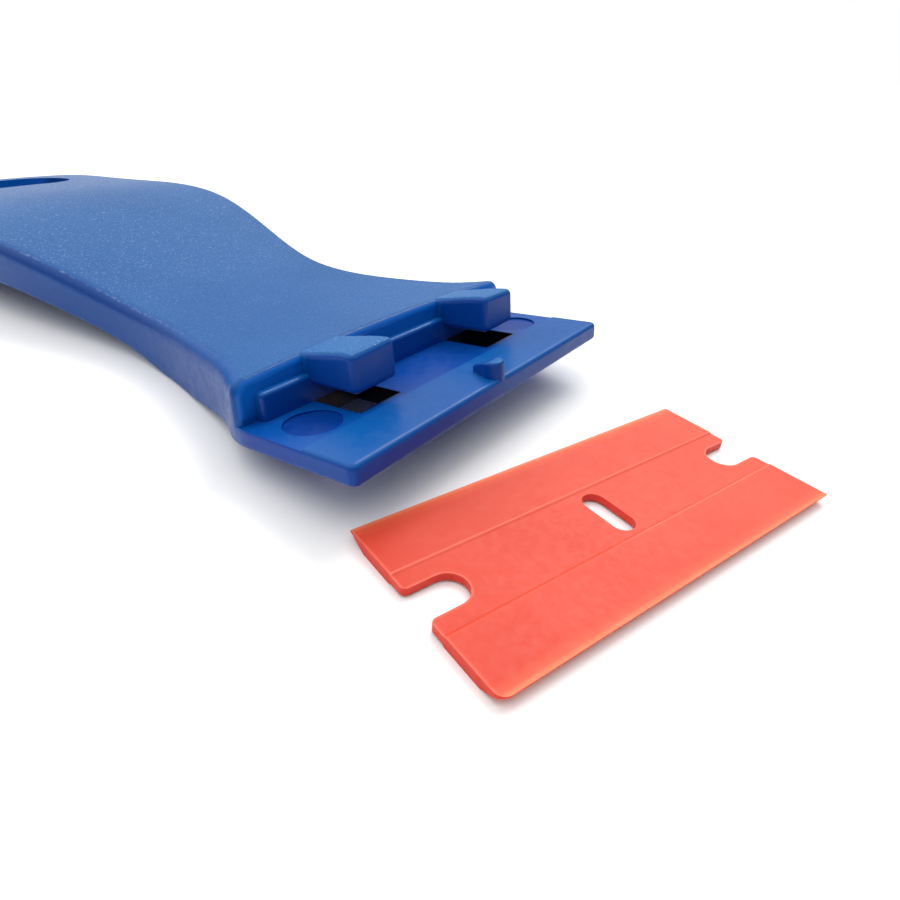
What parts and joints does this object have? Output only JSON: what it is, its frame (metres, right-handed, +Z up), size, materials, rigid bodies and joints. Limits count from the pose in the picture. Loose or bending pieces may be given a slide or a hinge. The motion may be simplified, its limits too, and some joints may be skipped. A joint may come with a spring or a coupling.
{
  "type": "algae scraper",
  "caption": "Flat moulded hand scraper with a hooked blade seat, waisted arched handle with a hanging slot, and a loose notched plastic blade lying in front.",
  "frame": {"origin": "middle of the handle's flat belly, the face it lies on behind the blade seat", "axes": "+Z up, +Y along the handle towards its tail, +X across the handle"},
  "size_m": [0.0454, 0.1385, 0.0108],
  "materials": {
    "blue_plastic": "fine spark-eroded grain on top, smooth rim and seat",
    "orange_plastic": "semi-matte, slightly translucent"
  },
  "bodies": {
    "handle": {"handle": "blue_plastic"},
    "blade": {"blade": "orange_plastic"}
  },
  "joints": [
    {"name": "blade_turn", "type": "hinge", "parent": "handle", "child": "blade", "pos_m": [-0.0041, -0.04495, 0.0005], "axis": [0, 0, 1], "range_deg": [0, 180]}
  ]
}
